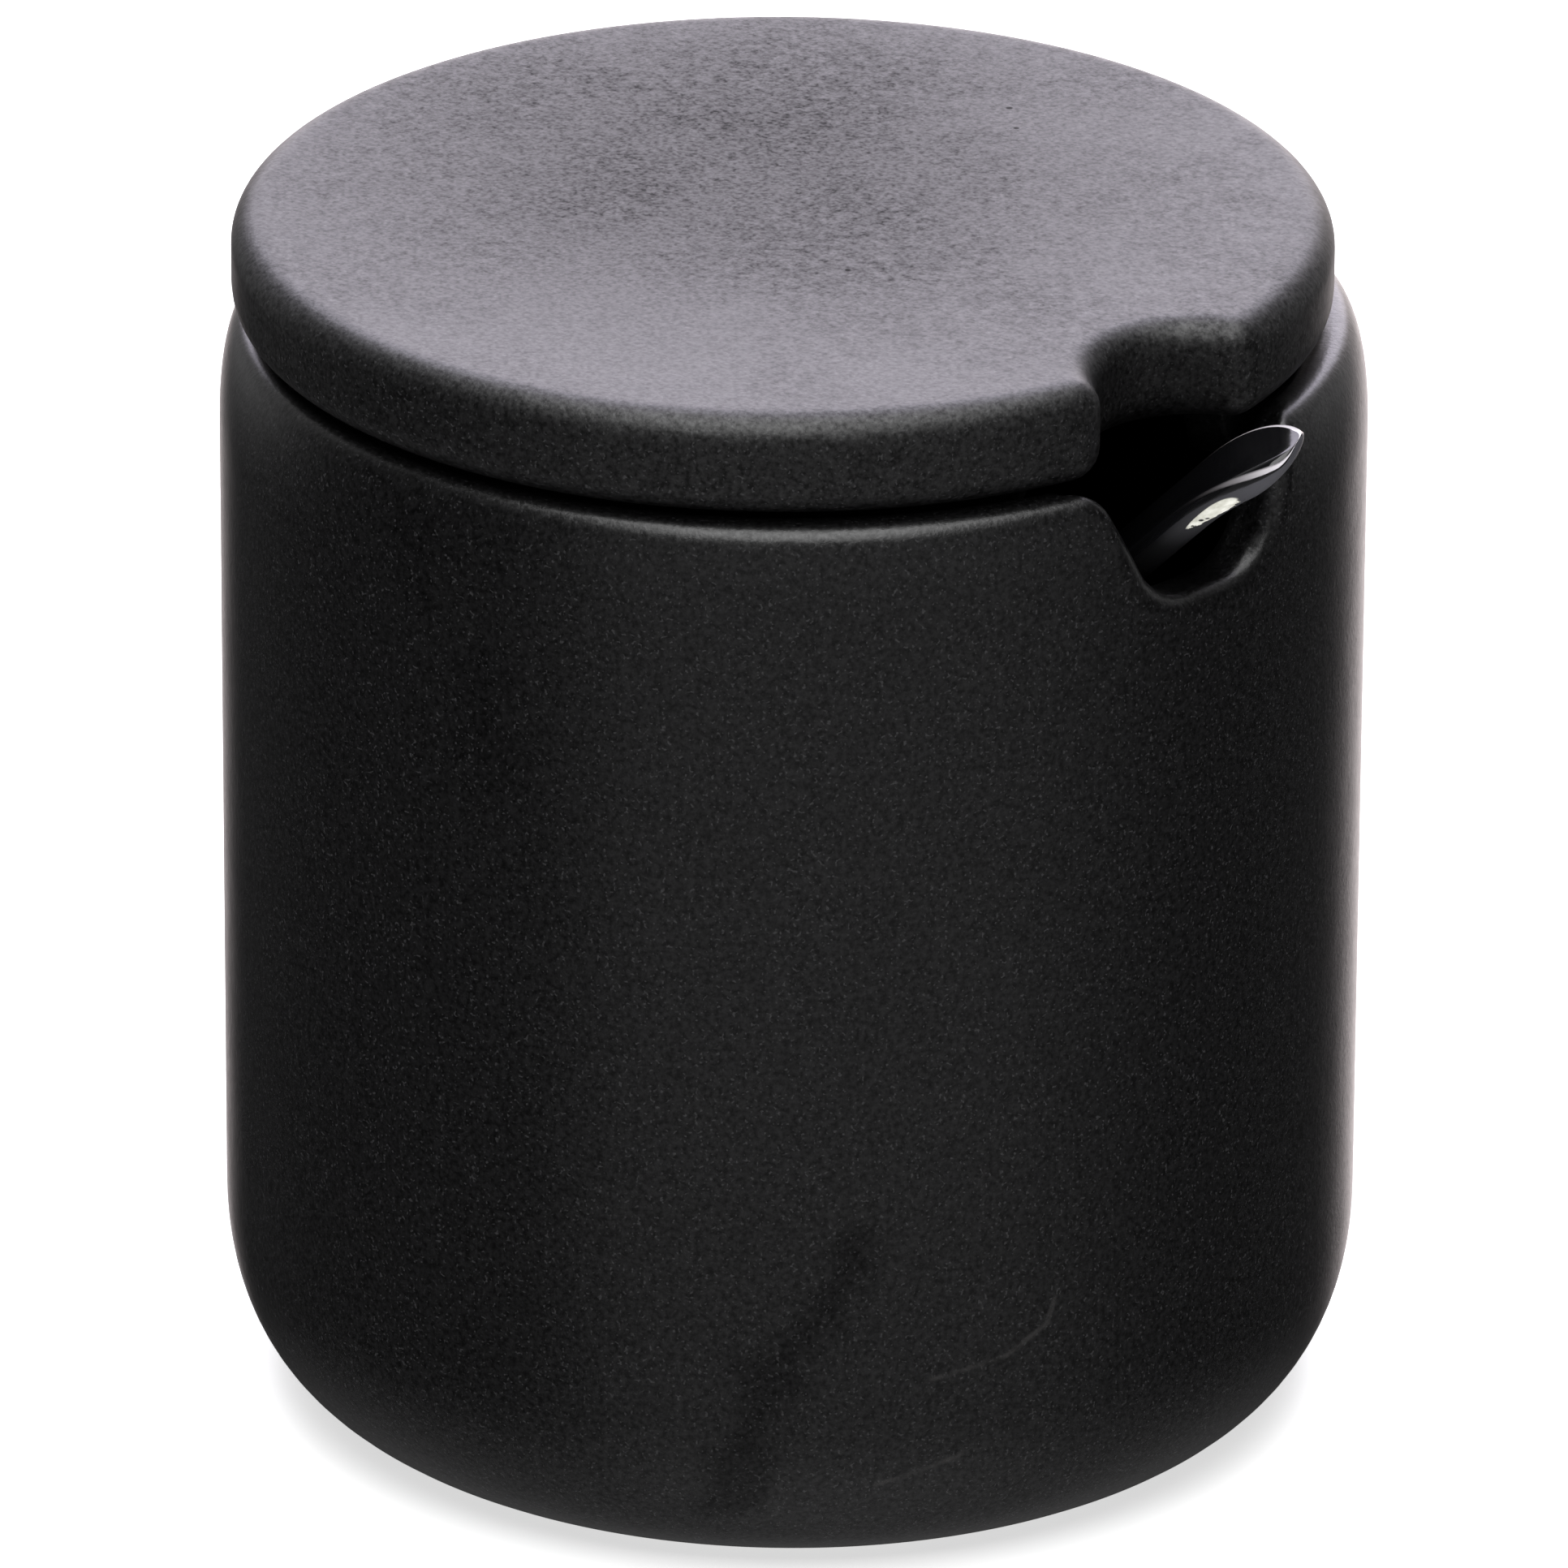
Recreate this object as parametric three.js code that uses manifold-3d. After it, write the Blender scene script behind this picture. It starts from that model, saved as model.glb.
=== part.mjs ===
// A small ceramic sugar bowl in three pieces: a straight-sided bowl with a rounded foot, a flat disc lid,
// and a spoon whose handle leaves through a notch in the bowl's rim and in the lid's edge.
// Millimetres, +Z up. The origin is the centre of the flat base, and the notches face +X.

import * as THREE from 'three';
import { LoftGeometry } from 'three/addons/geometries/LoftGeometry.js';
import { mergeVertices } from 'three/addons/utils/BufferGeometryUtils.js';
import Module from 'manifold-3d';

// Bowl
const BODY_RADIUS = 42;
const MOUTH_RADIUS = 37.2;
const RIM_Z = 84;
const FLOOR_Z = 6;
const RIM_INNER_ROUNDING = 1.4;
// Rounded profile corners are quarters of a superellipse
const FOOT_CORNER = { width: 10.7, height: 15, power: 2.2 };
const SHOULDER_CORNER = { width: 2.2, height: 8.1, power: 2.2 };
const INSIDE_CORNER = { width: 10, height: 13, power: 2.2 };

// Notch in the bowl's rim: rounded bottom corners, sides that lean apart, and flared top corners
const NOTCH_DEPTH = 9.5;
const NOTCH_FLOOR_HALF_WIDTH = 1.7;
const NOTCH_CORNER_RADIUS = 5.7;
const NOTCH_LEAN = THREE.MathUtils.degToRad(28);
const NOTCH_FLARE_RADIUS = 3;
// The bowl stands turned this little against its lid and spoon
const BOWL_TURN = THREE.MathUtils.degToRad(0.9);

// Lid: a disc that rests on the rim, with a C-shaped ring under it that keeps it in the mouth
const SEAT_GAP = 0.3;
const LID_RADIUS = 40.2;
const LID_THICKNESS = 7.7;
const LID_TOP_ROUNDING = 2.3;
const LID_UNDER_ROUNDING = 2.6;
const RING_OUTER_RADIUS = 36;
const RING_INNER_RADIUS = 32.6;
const RING_DEPTH = 5;
const RING_CHAMFER = 0.8;
const RING_GAP_HALF_WIDTH = 9.5;
const LID_NOTCH_RADIUS = 7.6;
const LID_NOTCH_CENTRE = 42;
// The ring is loose in the mouth, and the lid rests this far off the bowl's axis
const LID_SHIFT = { x: -0.6, y: -0.6 };

// Spoon, in its own frame: X runs from the scoop's far end to the handle's tip, Z is its upper side
const SPOON_LENGTH = 112;
const SCOOP_HALF_WIDTH = 12;
const SCOOP_WIDEST_X = 17;
const SCOOP_DISH = 5.2;
const SCOOP_LIFT_RADIUS = 160;
const NECK_X = 40;
const NECK_HALF_WIDTH = 3.2;
const HANDLE_HALF_WIDTH = 4.1;
const HANDLE_FULL_WIDTH_X = 88;
const HANDLE_DISH = 0.4;
const HANDLE_DROOP = { depth: 2.7, length: 11.6, power: 2.4 };
const SPOON_THICKNESS = 3;
// The ends narrow along quarters of a superellipse: the scoop, the handle's width and its thickness
const SCOOP_END = { length: SCOOP_WIDEST_X, power: 2 };
const HANDLE_WIDTH_END = { length: 8.5, power: 2.3 };
const HANDLE_DEPTH_END = { length: 5, power: 1.5 };

// Spoon at rest: where its straight axis crosses the wall, and how it leans
const SPOON_CROSSING = { x: 39.5, y: 0.1, z: 82 };
const SPOON_OUTSIDE = 10.4;
const SPOON_SLOPE = THREE.MathUtils.degToRad(45.2);
const SPOON_HEADING = THREE.MathUtils.degToRad(5.5);
const SPOON_ROLL = THREE.MathUtils.degToRad(20.8);

// Facets
const ROUND_SEGMENTS = 72;
const CORNER_STEPS = 6;
const NOTCH_STEPS = 8;
const SPOON_STATIONS = 40;
const SPOON_SECTION_POINTS = 20;

const CUT_MARGIN = 2;
const LID_UNDER_Z = RIM_Z + SEAT_GAP;

const wasm = await Module();
wasm.setup();

const glaze = { color: 0x1d1c1e, roughness: 0.62, metalness: 0 };
const spoonGlaze = { color: 0x0b0b0c, roughness: 0.14, metalness: 0 };

// Quarter superellipse from its vertical end to its horizontal end, about a centre (x, y).
// signY is 1 for a corner that rounds upwards and -1 for one that rounds downwards.
function cornerPoints(x, y, corner, signY) {
  const points = [];
  for (let i = 0; i <= CORNER_STEPS; i += 1) {
    const angle = (Math.PI / 2) * (i / CORNER_STEPS);
    const across = corner.width * Math.cos(angle) ** (2 / corner.power);
    const along = corner.height * Math.sin(angle) ** (2 / corner.power);
    points.push(new THREE.Vector2(x + across, y + signY * along));
  }
  return points;
}

function roundCorner(radius) {
  return { width: radius, height: radius, power: 2 };
}

function withoutRepeats(points) {
  return points.filter((point, i) => i === 0 || point.distanceTo(points[i - 1]) > 1e-6);
}

// Solid of revolution about Z from a profile of (radius, height) that starts and ends on the axis
function turned(profile) {
  const geometry = new THREE.LatheGeometry(withoutRepeats(profile), ROUND_SEGMENTS);
  return geometry.rotateX(Math.PI / 2);
}

function toSolid(geometry) {
  const bare = geometry.clone();
  bare.deleteAttribute('normal');
  bare.deleteAttribute('uv');
  const merged = mergeVertices(bare, 1e-4);
  const index = merged.index.array;
  const triangles = [];
  for (let i = 0; i < index.length; i += 3) {
    const [a, b, c] = index.slice(i, i + 3);
    if (a !== b && b !== c && c !== a) triangles.push(a, b, c);
  }
  return new wasm.Manifold(new wasm.Mesh({
    numProp: 3,
    vertProperties: merged.attributes.position.array,
    triVerts: new Uint32Array(triangles),
  }));
}

function toGeometry(solid) {
  const mesh = solid.getMesh();
  const geometry = new THREE.BufferGeometry();
  geometry.setAttribute('position', new THREE.BufferAttribute(mesh.vertProperties, 3));
  geometry.setIndex(new THREE.BufferAttribute(mesh.triVerts, 1));
  geometry.computeVertexNormals();
  return geometry;
}

function namedMesh(name, geometry, finish) {
  const mesh = new THREE.Mesh(geometry, new THREE.MeshStandardMaterial(finish));
  mesh.name = name;
  return mesh;
}

// Foot, straight side, shoulder, crowned rim, then down the inside to the floor
function bowlProfile() {
  const foot = cornerPoints(BODY_RADIUS - FOOT_CORNER.width, FOOT_CORNER.height, FOOT_CORNER, -1);
  const shoulder = cornerPoints(
    BODY_RADIUS - SHOULDER_CORNER.width, RIM_Z - SHOULDER_CORNER.height, SHOULDER_CORNER, 1,
  );
  const lip = roundCorner(RIM_INNER_ROUNDING);
  const innerLip = cornerPoints(MOUTH_RADIUS + lip.width, RIM_Z - lip.height, { ...lip, width: -lip.width }, 1);
  const inside = cornerPoints(
    MOUTH_RADIUS - INSIDE_CORNER.width, FLOOR_Z + INSIDE_CORNER.height, INSIDE_CORNER, -1,
  );
  return [
    new THREE.Vector2(0, 0),
    ...foot.reverse(),
    ...shoulder,
    ...innerLip.reverse(),
    ...inside,
    new THREE.Vector2(0, FLOOR_Z),
  ];
}

// Across from the notch's middle to the centre of a flare, where the rim turns down into the notch
function notchFlareY() {
  const radii = NOTCH_CORNER_RADIUS + NOTCH_FLARE_RADIUS;
  const sideHeight = NOTCH_DEPTH - radii * (1 - Math.sin(NOTCH_LEAN));
  return NOTCH_FLOOR_HALF_WIDTH + radii * Math.cos(NOTCH_LEAN) + sideHeight * Math.tan(NOTCH_LEAN);
}

// The notch's outline, seen from +X: across is Y, up is Z
function notchShape() {
  const flareY = notchFlareY();
  const flareZ = RIM_Z - NOTCH_FLARE_RADIUS;
  const cornerY = NOTCH_FLOOR_HALF_WIDTH;
  const cornerZ = RIM_Z - NOTCH_DEPTH + NOTCH_CORNER_RADIUS;
  const quarter = Math.PI / 2;
  const shape = new THREE.Shape();
  shape.moveTo(-flareY, RIM_Z + CUT_MARGIN);
  shape.lineTo(-flareY, RIM_Z);
  shape.absarc(-flareY, flareZ, NOTCH_FLARE_RADIUS, quarter, NOTCH_LEAN, true);
  shape.absarc(-cornerY, cornerZ, NOTCH_CORNER_RADIUS, 2 * quarter + NOTCH_LEAN, 3 * quarter, false);
  shape.absarc(cornerY, cornerZ, NOTCH_CORNER_RADIUS, 3 * quarter, 4 * quarter - NOTCH_LEAN, false);
  shape.absarc(flareY, flareZ, NOTCH_FLARE_RADIUS, 2 * quarter - NOTCH_LEAN, quarter, true);
  shape.lineTo(flareY, RIM_Z + CUT_MARGIN);
  shape.closePath();
  return shape;
}

function notchCutter() {
  const startX = MOUTH_RADIUS * 0.8;
  const geometry = new THREE.ExtrudeGeometry(notchShape(), {
    depth: BODY_RADIUS + CUT_MARGIN - startX,
    bevelEnabled: false,
    curveSegments: NOTCH_STEPS,
  });
  const alongX = new THREE.Matrix4().makeBasis(
    new THREE.Vector3(0, 1, 0), new THREE.Vector3(0, 0, 1), new THREE.Vector3(1, 0, 0),
  );
  return geometry.applyMatrix4(alongX).translate(startX, 0, 0);
}

function makeBowl() {
  const solid = toSolid(turned(bowlProfile())).subtract(toSolid(notchCutter()));
  const bowl = namedMesh('bowl', toGeometry(solid), glaze);
  bowl.rotation.z = BOWL_TURN;
  return bowl;
}

// The lid in its own frame: Z = 0 is the underside that rests on the rim
function lidProfile() {
  const under = cornerPoints(
    LID_RADIUS - LID_UNDER_ROUNDING, LID_UNDER_ROUNDING, roundCorner(LID_UNDER_ROUNDING), -1,
  );
  const top = cornerPoints(
    LID_RADIUS - LID_TOP_ROUNDING, LID_THICKNESS - LID_TOP_ROUNDING, roundCorner(LID_TOP_ROUNDING), 1,
  );
  return [
    new THREE.Vector2(0, 0),
    new THREE.Vector2(RING_INNER_RADIUS, 0),
    new THREE.Vector2(RING_INNER_RADIUS, RING_CHAMFER - RING_DEPTH),
    new THREE.Vector2(RING_INNER_RADIUS + RING_CHAMFER, -RING_DEPTH),
    new THREE.Vector2(RING_OUTER_RADIUS - RING_CHAMFER, -RING_DEPTH),
    new THREE.Vector2(RING_OUTER_RADIUS, RING_CHAMFER - RING_DEPTH),
    new THREE.Vector2(RING_OUTER_RADIUS, 0),
    ...under.reverse(),
    ...top,
    new THREE.Vector2(0, LID_THICKNESS),
  ];
}

function lidNotchCutter() {
  const height = LID_THICKNESS + RING_DEPTH + 2 * CUT_MARGIN;
  const geometry = new THREE.CylinderGeometry(LID_NOTCH_RADIUS, LID_NOTCH_RADIUS, height, 4 * NOTCH_STEPS);
  return geometry.rotateX(Math.PI / 2).translate(LID_NOTCH_CENTRE, 0, (LID_THICKNESS - RING_DEPTH) / 2);
}

// Opens the ring on the notch's side, up to the disc's underside
function ringGapCutter() {
  const startX = RING_INNER_RADIUS * 0.8;
  const depth = RING_OUTER_RADIUS + CUT_MARGIN - startX;
  const height = RING_DEPTH + CUT_MARGIN;
  return new THREE.BoxGeometry(depth, 2 * RING_GAP_HALF_WIDTH, height)
    .translate(startX + depth / 2, 0, -height / 2);
}

function makeLid() {
  const solid = toSolid(turned(lidProfile()))
    .subtract(toSolid(lidNotchCutter()))
    .subtract(toSolid(ringGapCutter()));
  const lid = namedMesh('lid', toGeometry(solid), glaze);
  lid.position.set(LID_SHIFT.x, LID_SHIFT.y, LID_UNDER_Z);
  return lid;
}

// Rises smoothly from 0 to 1 between the two limits
function ease(x, from, to) {
  const t = THREE.MathUtils.clamp((x - from) / (to - from), 0, 1);
  return (1 - Math.cos(Math.PI * t)) / 2;
}

// Rounds off an end: 0 at the very end, 1 from the end's length inwards
function roundEnd(distance, end) {
  const t = THREE.MathUtils.clamp(1 - distance / end.length, 0, 1);
  return (1 - t ** end.power) ** (1 / end.power);
}

// 1 in the scoop, 0 in the handle
function scoopShare(x) {
  return 1 - ease(x, SCOOP_WIDEST_X, NECK_X);
}

function spoonHalfWidth(x) {
  const handle = THREE.MathUtils.mapLinear(
    THREE.MathUtils.clamp(x, NECK_X, HANDLE_FULL_WIDTH_X),
    NECK_X, HANDLE_FULL_WIDTH_X, NECK_HALF_WIDTH, HANDLE_HALF_WIDTH,
  );
  const width = THREE.MathUtils.lerp(handle, SCOOP_HALF_WIDTH, scoopShare(x));
  return width * roundEnd(x, SCOOP_END) * roundEnd(SPOON_LENGTH - x, HANDLE_WIDTH_END);
}

// The hollow of the upper side
function spoonDish(x) {
  const hollow = THREE.MathUtils.lerp(HANDLE_DISH, SCOOP_DISH, scoopShare(x));
  const ends = roundEnd(x, SCOOP_END) * roundEnd(SPOON_LENGTH - x, HANDLE_DEPTH_END);
  return hollow * ends * ends;
}

// How far the underside lies below the spoon's edge
function spoonBelly(x) {
  const ends = roundEnd(x, SCOOP_END) * roundEnd(SPOON_LENGTH - x, HANDLE_DEPTH_END);
  return spoonDish(x) * scoopShare(x) + SPOON_THICKNESS * ends;
}

// The spoon's edge seen from the side: the scoop turns up a little and the handle's end droops
function spoonSpine(x) {
  const scoop = Math.max(0, NECK_X - x);
  const droop = Math.max(0, 1 - (SPOON_LENGTH - x) / HANDLE_DROOP.length);
  return scoop ** 2 / (2 * SCOOP_LIFT_RADIUS) - HANDLE_DROOP.depth * droop ** HANDLE_DROOP.power;
}

function spoonSection(x) {
  const points = [];
  for (let i = 0; i < SPOON_SECTION_POINTS; i += 1) {
    const angle = (2 * Math.PI * i) / SPOON_SECTION_POINTS;
    const sine = Math.sin(angle);
    const depth = sine > 0 ? spoonDish(x) * sine * sine : spoonBelly(x) * -sine;
    points.push(new THREE.Vector3(x, spoonHalfWidth(x) * Math.cos(angle), spoonSpine(x) - depth));
  }
  return points;
}

function makeSpoon() {
  const sections = [];
  for (let i = 1; i < SPOON_STATIONS; i += 1) {
    const along = (1 - Math.cos((Math.PI * i) / SPOON_STATIONS)) / 2;
    sections.push(spoonSection(SPOON_LENGTH * along));
  }
  const geometry = new LoftGeometry(sections, { capStart: true, capEnd: true });
  const spoon = namedMesh('spoon', geometry, spoonGlaze);
  spoon.rotation.set(SPOON_ROLL, -SPOON_SLOPE, SPOON_HEADING, 'ZYX');
  const back = new THREE.Vector3(SPOON_OUTSIDE - SPOON_LENGTH, 0, 0).applyEuler(spoon.rotation);
  spoon.position.set(SPOON_CROSSING.x, SPOON_CROSSING.y, SPOON_CROSSING.z).add(back);
  return spoon;
}

const group = new THREE.Group();
group.add(makeBowl(), makeLid(), makeSpoon());

export default group;
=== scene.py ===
"""Looks of a lidded ceramic sugar bowl and its spoon: fine meshes, procedural glazes, soft studio light.

Shapes are worked out in millimetres and turned into metres where a mesh is made.
"""

import math

import bpy
import numpy as np
from mathutils import Euler, Matrix, Vector


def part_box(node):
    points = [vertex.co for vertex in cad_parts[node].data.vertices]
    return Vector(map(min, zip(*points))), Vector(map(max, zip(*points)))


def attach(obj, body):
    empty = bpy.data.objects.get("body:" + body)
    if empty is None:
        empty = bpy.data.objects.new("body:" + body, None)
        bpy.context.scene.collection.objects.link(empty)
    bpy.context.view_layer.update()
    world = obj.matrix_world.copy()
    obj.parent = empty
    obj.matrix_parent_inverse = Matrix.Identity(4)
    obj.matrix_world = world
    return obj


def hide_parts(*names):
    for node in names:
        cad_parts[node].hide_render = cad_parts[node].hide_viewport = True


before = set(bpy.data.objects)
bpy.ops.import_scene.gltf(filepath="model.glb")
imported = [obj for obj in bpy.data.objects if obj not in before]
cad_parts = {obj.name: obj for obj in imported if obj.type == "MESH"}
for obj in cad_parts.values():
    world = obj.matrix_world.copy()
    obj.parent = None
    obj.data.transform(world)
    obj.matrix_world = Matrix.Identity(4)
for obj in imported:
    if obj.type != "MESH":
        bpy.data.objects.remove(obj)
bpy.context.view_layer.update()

MM = 0.001

# ---------------------------------------------------------------- sizes, from the frame
bowl_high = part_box("bowl")[1] / MM
lid_low, lid_high = (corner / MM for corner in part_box("lid"))

BODY_RADIUS = bowl_high.y
RIM_Z = bowl_high.z
LID_RADIUS = (lid_high.y - lid_low.y) / 2
LID_CENTRE = Vector((lid_low.x + LID_RADIUS, lid_low.y + LID_RADIUS, 0))
RING_DEPTH = 5.0
LID_UNDER_Z = lid_low.z + RING_DEPTH
LID_THICKNESS = lid_high.z - LID_UNDER_Z

# ---------------------------------------------------------------- sizes the CAD also uses
MOUTH_RADIUS = 37.2
FLOOR_Z = 6.0
FOOT_CORNER = (10.7, 15.0, 2.2)        # width, height, superellipse power
SHOULDER_CORNER = (2.2, 8.1, 2.2)
INSIDE_CORNER = (10.0, 13.0, 2.2)
NOTCH_DEPTH = 9.5
NOTCH_FLOOR_HALF_WIDTH = 1.7
NOTCH_CORNER_RADIUS = 5.7
NOTCH_LEAN = math.radians(28)
NOTCH_FLARE_RADIUS = 3.0
BOWL_TURN = Euler((0, 0, math.radians(0.9)))    # how far the bowl is turned against the lid

LID_TOP_ROUNDING = 2.3
LID_UNDER_ROUNDING = 2.6
LID_NOTCH_RADIUS = 7.6
LID_NOTCH_CENTRE = 42.0
RING_MIDDLE_RADIUS = 34.3
RING_HALF_WIDTH = 1.7
RING_GAP_HALF_WIDTH = 9.5

SPOON_LENGTH = 112.0
SCOOP_HALF_WIDTH = 12.0
SCOOP_WIDEST_X = 17.0
SCOOP_DISH = 5.2
SCOOP_LIFT_RADIUS = 160.0
NECK_X = 40.0
NECK_HALF_WIDTH = 3.2
HANDLE_HALF_WIDTH = 4.1
HANDLE_FULL_WIDTH_X = 88.0
HANDLE_DISH = 0.4
HANDLE_DROOP = (2.7, 11.6, 2.4)        # depth, length, power
SPOON_THICKNESS = 3.0
SCOOP_END = (17.0, 2.0)                # length and superellipse power
HANDLE_WIDTH_END = (8.5, 2.3)
HANDLE_DEPTH_END = (5.0, 1.5)
SPOON_CROSSING = Vector((39.5, 0.1, 82.0))
SPOON_OUTSIDE = 10.4
SPOON_TURN = Euler((math.radians(20.8), math.radians(-45.2), math.radians(5.5)), "XYZ")

# ---------------------------------------------------------------- finer detail and meshes, only here
EDGE_ROUNDING = 1.5                    # glazed edges of the rim and its notch
LID_NOTCH_CORNER = 2.6                 # upright corners where the lid's notch meets its edge
FOOT_RING_INNER = 26.5                 # the bare ring that the bowl stands on
FOOT_RECESS = 0.45
FOOT_RECESS_SLOPE = 1.2                # how wide the step up into the recess is
RIM_COLUMNS = 96                       # columns round half of the rim, past the notch
BOWL_EVEN_Z = 56.0                     # from here down the bowl's rows are evenly spaced
BOWL_CENTRE_RADIUS = 1.5               # the last ring before a surface closes in a point
LID_CENTRE_RADIUS = 1.2
LID_EVEN_RADIUS = 26.0                 # beyond it the top's rows blend into the outline
LID_EDGE_TURN = math.radians(66)       # how much of the top's rounding has rows of its own
RING_END_SLOPE = math.radians(2.2)     # how fast the lid's ring rises at its open end
RING_END_INWARD = 3.4                  # how far its rows stand in across the gap
SPOON_ROWS = 148
SPOON_RING = 80                        # points round the spoon
LIP_STEPS = 5                          # points round each rounded lip
LIP_HEIGHT = (0.55, 0.35)              # on the handle, and how much more in the scoop
LIP_SHARE = 0.45                       # of the section's half width or depth, at most
HOLLOW_POWER = 1.3
END_TRIM = 0.15                        # keeps the spoon's rounded ends inside the CAD's
# Marks across the spoon's lips, by ring points up from the side, which mark the underside and place the
# painted highlight lines. Towards the handle's end those on the
# # near lip move down its side.
LIP_MARKS = ((-1, 0, 1, 2, 3, 4, 9), (-1, 0, 0, 0.7, 1, 1, 0))
LIP_MARKS_MOVE = (104.5, 112.0, 6.0)   # from x, to x, ring points

# The bare patch on the handle's side, in the spoon's own frame: pointed at its inner end, with specks
# of glaze left in it, each by x, z and radius
BARE_PATCH_X = 104.45
BARE_PATCH_Z = -1.92
BARE_PATCH_TILT = math.radians(7.7)
BARE_PATCH_HALF_LENGTH = 2.65
BARE_PATCH_HALF_WIDTH = 0.66
BARE_PATCH_SPECKS = ((103.3, -1.80, 0.2), (103.65, -2.04, 0.17), (102.35, -1.70, 0.12))

# The lid's mottles gather round this point, beyond the middle as seen from the front
MOTTLE_CENTRE = (-10.0, 3.0)
# Dark specks on the lid, each by x, y and radius
LID_SPECKS = ((-2.2, 26.0, 0.34), (0.95, 23.5, 0.28), (11.5, -5.0, 0.28))

# Marks on the bowl's side, each from one point to another: dull patches by radius, then pale hairlines
BOWL_SMUDGES = (
    ((2.5, -41.9, 80.0), (2.6, -41.9, 76.0), 2.6),
    ((8.4, -41.1, 70.0), (9.4, -40.9, 63.0), 3.8),
    ((32.4, -26.7, 27.7), (28.0, -31.3, 17.7), 2.4),
    ((28.0, -31.3, 17.7), (25.1, -32.4, 8.0), 3.2),
)
BOWL_SCUFFS = (
    ((39.7, -13.8, 22.1), (39.5, -14.4, 20.3)),
    ((39.5, -14.4, 20.3), (38.2, -17.3, 18.3)),
    ((38.2, -17.3, 18.3), (35.6, -22.3, 17.2)),
    ((36.7, -19.9, 10.8), (32.7, -25.1, 8.7)),
)


# ================================================================ mesh helpers
def ring_faces(first, second, count):
    """Quads between two rings of vertices that start at these indices."""
    return [
        (first + i, first + (i + 1) % count, second + (i + 1) % count, second + i)
        for i in range(count)
    ]


def closed_surface(name, rows, start_pole, end_pole, marks=None):
    """A closed mesh from rings of equal length, in millimetres, with a point at each end.

    The marks, one number for each point of each ring, go into an "edge" attribute.
    """
    count = len(rows[0])
    vertices = [start_pole, *[tuple(p) for row in rows for p in row], end_pole]
    last = len(vertices) - 1
    faces = [(0, 1 + (i + 1) % count, 1 + i) for i in range(count)]
    for r in range(len(rows) - 1):
        faces += ring_faces(1 + r * count, 1 + (r + 1) * count, count)
    end = 1 + (len(rows) - 1) * count
    faces += [(last, end + i, end + (i + 1) % count) for i in range(count)]
    mesh = bpy.data.meshes.new(name)
    mesh.from_pydata((np.array(vertices, float) * MM).tolist(), [], faces)
    mesh.validate()
    mesh.polygons.foreach_set("use_smooth", [True] * len(mesh.polygons))
    mesh.update()
    if signed_volume(mesh) < 0:
        mesh.flip_normals()
    if marks is not None:
        edge = mesh.attributes.new("edge", "FLOAT", "POINT")
        edge.data.foreach_set("value", [1.0, *np.concatenate(marks), 1.0])
    piece = bpy.data.objects.new(name, mesh)
    bpy.context.scene.collection.objects.link(piece)
    return piece


def set_in_place(piece, turn, origin_mm):
    """Turns and moves a piece's points, and keeps where they were in its "own" attribute."""
    points = [v.co.copy() for v in piece.data.vertices]
    own = piece.data.attributes.new("own", "FLOAT_VECTOR", "POINT")
    own.data.foreach_set("vector", [number for point in points for number in point])
    piece.data.transform(Matrix.Translation(origin_mm * MM) @ turn.to_matrix().to_4x4())
    return piece


def signed_volume(mesh):
    """The volume inside a closed mesh, negative if its faces look inwards."""
    mesh.calc_loop_triangles()
    points = np.array([v.co for v in mesh.vertices], float)
    corners = points[np.array([t.vertices for t in mesh.loop_triangles])]
    return np.einsum("ij,ij->", corners[:, 0], np.cross(corners[:, 1], corners[:, 2])) / 6


def corner_inset(distance, corner):
    """How far a superellipse corner stands in from the straight side, at a distance from its end."""
    width, height, power = corner
    t = np.clip(1 - distance / height, 0, 1)
    return width * (1 - (1 - t**power) ** (1 / power))


def round_inset(distance, radius):
    """The same for a round corner."""
    return corner_inset(distance, (radius, radius, 2))


def corner_distances(corner, steps):
    """Distances from a corner's end that follow its curve evenly, from the straight side to the end."""
    _, height, power = corner
    angles = np.linspace(0, math.pi / 2, steps + 1)
    return height * (1 - np.sin(angles) ** (2 / power))


def ease(t):
    """0 to 1 with a soft start and end."""
    t = np.clip(t, 0, 1)
    return (1 - np.cos(np.pi * t)) / 2


def mirrored(half, sign):
    """A closed loop from its half, which starts and ends on the mirror line."""
    return np.concatenate([half, sign * half[-2:0:-1]])


# ================================================================ bowl
def notch_half():
    """Half of the notch's edge from its lowest point: across, height, and the way into the clay."""
    corner = np.array([NOTCH_FLOOR_HALF_WIDTH, RIM_Z - NOTCH_DEPTH + NOTCH_CORNER_RADIUS])
    radii = NOTCH_CORNER_RADIUS + NOTCH_FLARE_RADIUS
    side_height = NOTCH_DEPTH - radii * (1 - math.sin(NOTCH_LEAN))
    flare_y = corner[0] + radii * math.cos(NOTCH_LEAN) + side_height * math.tan(NOTCH_LEAN)
    flare = np.array([flare_y, RIM_Z - NOTCH_FLARE_RADIUS])
    side = np.array([math.cos(NOTCH_LEAN), -math.sin(NOTCH_LEAN)])
    points = [(*(corner * (k / 4, 1) - (0, NOTCH_CORNER_RADIUS)), 0, -1) for k in range(4)]
    for a in np.linspace(0, math.pi / 2 - NOTCH_LEAN, 15):
        way = np.array([math.sin(a), -math.cos(a)])
        points.append((*(corner + NOTCH_CORNER_RADIUS * way), *way))
    start = corner + NOTCH_CORNER_RADIUS * side
    end = flare - NOTCH_FLARE_RADIUS * side
    points += [(*(start + (end - start) * k / 8), *side) for k in range(1, 8)]
    for a in np.linspace(NOTCH_LEAN, math.pi / 2, 14):
        way = np.array([math.cos(a), -math.sin(a)])
        points.append((*(flare - NOTCH_FLARE_RADIUS * way), *way))
    return np.array(points)


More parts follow.
